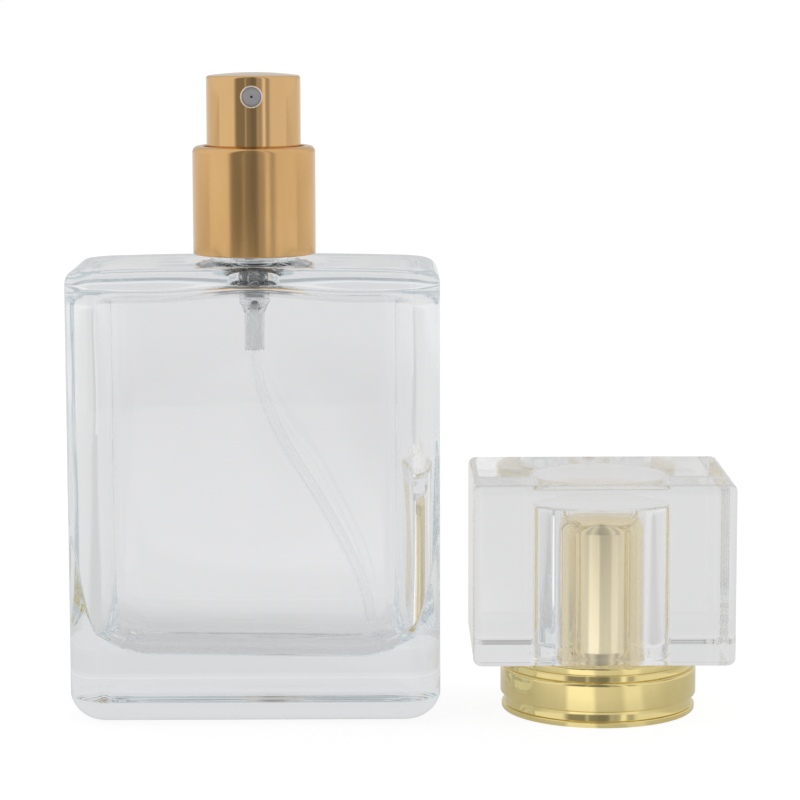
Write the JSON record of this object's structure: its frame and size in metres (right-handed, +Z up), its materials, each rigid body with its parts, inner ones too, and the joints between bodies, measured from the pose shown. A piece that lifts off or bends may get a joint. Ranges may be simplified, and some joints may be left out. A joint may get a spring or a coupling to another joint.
{
  "type": "spray perfume bottle",
  "caption": "Clear rectangular glass perfume bottle with a gold spray pump, and its clear block cap on a gold stepped ring standing beside it.",
  "frame": {"origin": "centre of the glass bottle's base, on the surface that the bottle stands on", "axes": "+Z up along the neck and the pump, +X towards the cap that stands beside the bottle, the nozzle sprays towards -Y"},
  "size_m": [0.0968, 0.0315, 0.0941],
  "materials": {
    "glass": "clear flint glass, polished",
    "clear_block": "clear moulded resin, polished",
    "gold_satin": "satin gold anodised",
    "gold_gloss": "glossy gold anodised",
    "gold_pale": "mirror pale gold",
    "white_pp": "natural white polypropylene",
    "clear_pp": "translucent polypropylene",
    "clear_pe": "translucent polyethylene",
    "grey_pom": "grey acetal",
    "gasket": "black rubber",
    "steel": "bright stainless steel"
  },
  "bodies": {
    "bottle": {"glass_bottle": "glass"},
    "pump": {"pump_housing": "clear_pp", "neck_gasket": "gasket", "turret": "white_pp", "dip_tube": "clear_pe", "return_spring": "steel"},
    "closure": {"screw_closure": "white_pp", "collar": "gold_satin"},
    "stem_group": {"stem": "white_pp", "piston": "clear_pe", "stem_foot": "white_pp", "valve_spring": "steel"},
    "spray_head": {"spray_button": "white_pp", "button_shell": "gold_gloss", "nozzle_insert": "grey_pom"},
    "inlet_ball": {"check_ball": "steel"},
    "cap": {"cap_block": "clear_block", "cap_insert": "gold_pale", "cap_ring": "gold_pale", "cap_grip": "white_pp"}
  },
  "joints": [
    {"name": "pump_lift", "type": "slide", "parent": "bottle", "child": "pump", "axis": [0, 0, 1], "range_m": [0, 0.0042]},
    {"name": "closure_unscrew", "type": "hinge", "parent": "pump", "child": "closure", "pos_m": [0, 0, 0.073], "axis": [0, 0, 1], "range_deg": [0, 720]},
    {"name": "spray_press", "type": "slide", "parent": "pump", "child": "stem_group", "axis": [0, 0, -1], "range_m": [0, 0.0039], "stiffness_N_per_m": 400, "springref_m": -0.0003, "deforming": ["return_spring"]},
    {"name": "spray_swivel", "type": "hinge", "parent": "stem_group", "child": "spray_head", "pos_m": [0, 0, 0.0907], "axis": [0, 0, 1], "continuous": true},
    {"name": "ball_lift", "type": "slide", "parent": "pump", "child": "inlet_ball", "axis": [0, 0, 1], "range_m": [0, 0.0004]},
    {"name": "cap_lift", "type": "slide", "parent": "bottle", "child": "cap", "axis": [0, 0, 1], "range_m": [0, 0.095]}
  ],
  "couplings": [
    {"joint": "closure_unscrew", "follows": "pump_lift", "rad_per_m": 2992}
  ]
}
